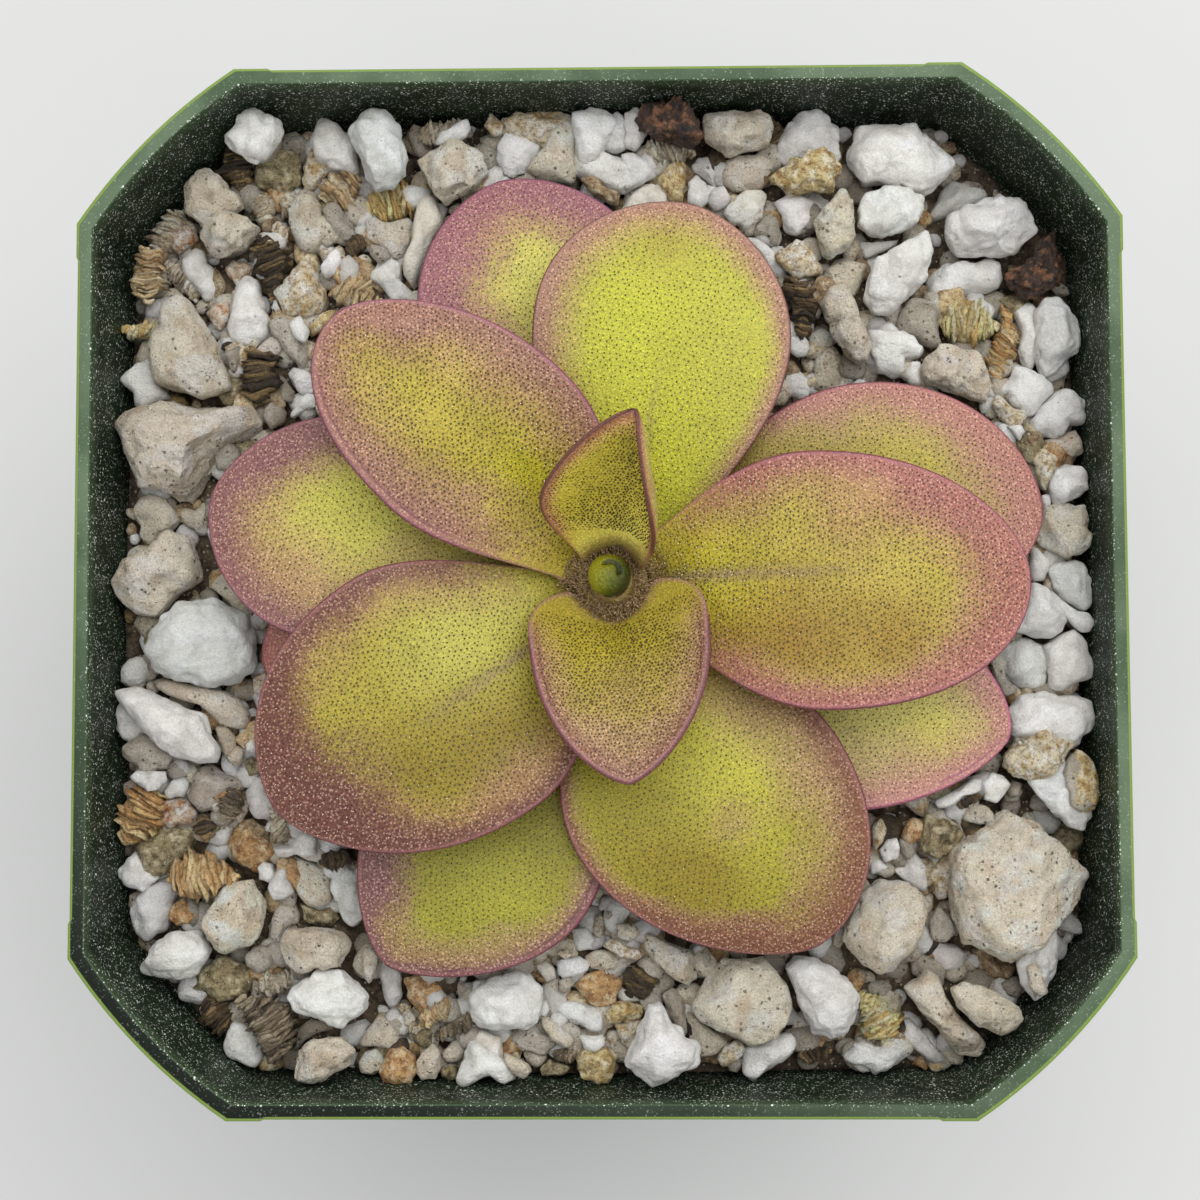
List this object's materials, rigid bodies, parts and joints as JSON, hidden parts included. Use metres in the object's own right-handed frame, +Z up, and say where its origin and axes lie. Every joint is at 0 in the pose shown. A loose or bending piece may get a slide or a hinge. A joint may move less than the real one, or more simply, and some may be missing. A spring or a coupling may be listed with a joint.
{
  "type": "potted butterwort",
  "caption": "Carnivorous rosette plant with flat sticky leaves, growing in a square pot of gritty mineral mix.",
  "frame": {"origin": "middle of the pot's foot, on the surface it stands on", "axes": "+Z up; X and Y along the pot's sides"},
  "size_m": [0.076, 0.076, 0.0828],
  "materials": {
    "pot_plastic": "dark olive green moulded plastic, dusty inside",
    "growing_mix": "loose fine grit, matte",
    "stem": "pale fibrous stem and roots",
    "young_leaf": "fleshy lime to olive leaf with a mauve margin and sticky stalked glands",
    "old_leaf": "fleshy mauve and olive leaf with sticky stalked glands",
    "pumice": "rough porous stone",
    "perlite": "white foamed mineral, matte",
    "vermiculite": "golden brown layered mica with a pearly edge",
    "bark": "dark flaky bark"
  },
  "bodies": {
    "root": {"pot": "pot_plastic", "growing_mix": "growing_mix", "stem_with_roots": "stem", "crown_bud": "young_leaf", "leaf_01": "young_leaf", "leaf_02": "young_leaf", "leaf_03": "young_leaf", "leaf_04": "young_leaf", "leaf_05": "young_leaf", "leaf_06": "young_leaf", "leaf_07": "young_leaf", "leaf_08": "old_leaf", "leaf_09": "old_leaf", "leaf_10": "old_leaf", "leaf_11": "old_leaf", "leaf_12": "old_leaf", "leaf_13": "old_leaf", "pumice_01": "pumice", "pumice_02": "pumice", "pumice_03": "pumice", "pumice_04": "pumice", "pumice_05": "pumice", "pumice_06": "pumice", "pumice_07": "pumice", "pumice_08": "pumice", "pumice_09": "pumice", "pumice_10": "pumice", "pumice_11": "pumice", "pumice_12": "pumice", "pumice_13": "pumice", "pumice_14": "pumice", "pumice_15": "pumice", "pumice_16": "pumice", "pumice_17": "pumice", "pumice_18": "pumice", "pumice_19": "pumice", "pumice_20": "pumice", "perlite_01": "perlite", "perlite_02": "perlite", "perlite_03": "perlite", "perlite_04": "perlite", "perlite_05": "perlite", "perlite_06": "perlite", "perlite_07": "perlite", "perlite_08": "perlite", "perlite_09": "perlite", "perlite_10": "perlite", "perlite_11": "perlite", "perlite_12": "perlite", "perlite_13": "perlite", "perlite_14": "perlite", "perlite_15": "perlite", "perlite_16": "perlite", "vermiculite_01": "vermiculite", "vermiculite_02": "vermiculite", "vermiculite_03": "vermiculite", "crumb_01": "vermiculite", "crumb_02": "vermiculite", "bark_01": "bark", "bark_02": "bark"}
  },
  "joints": []
}
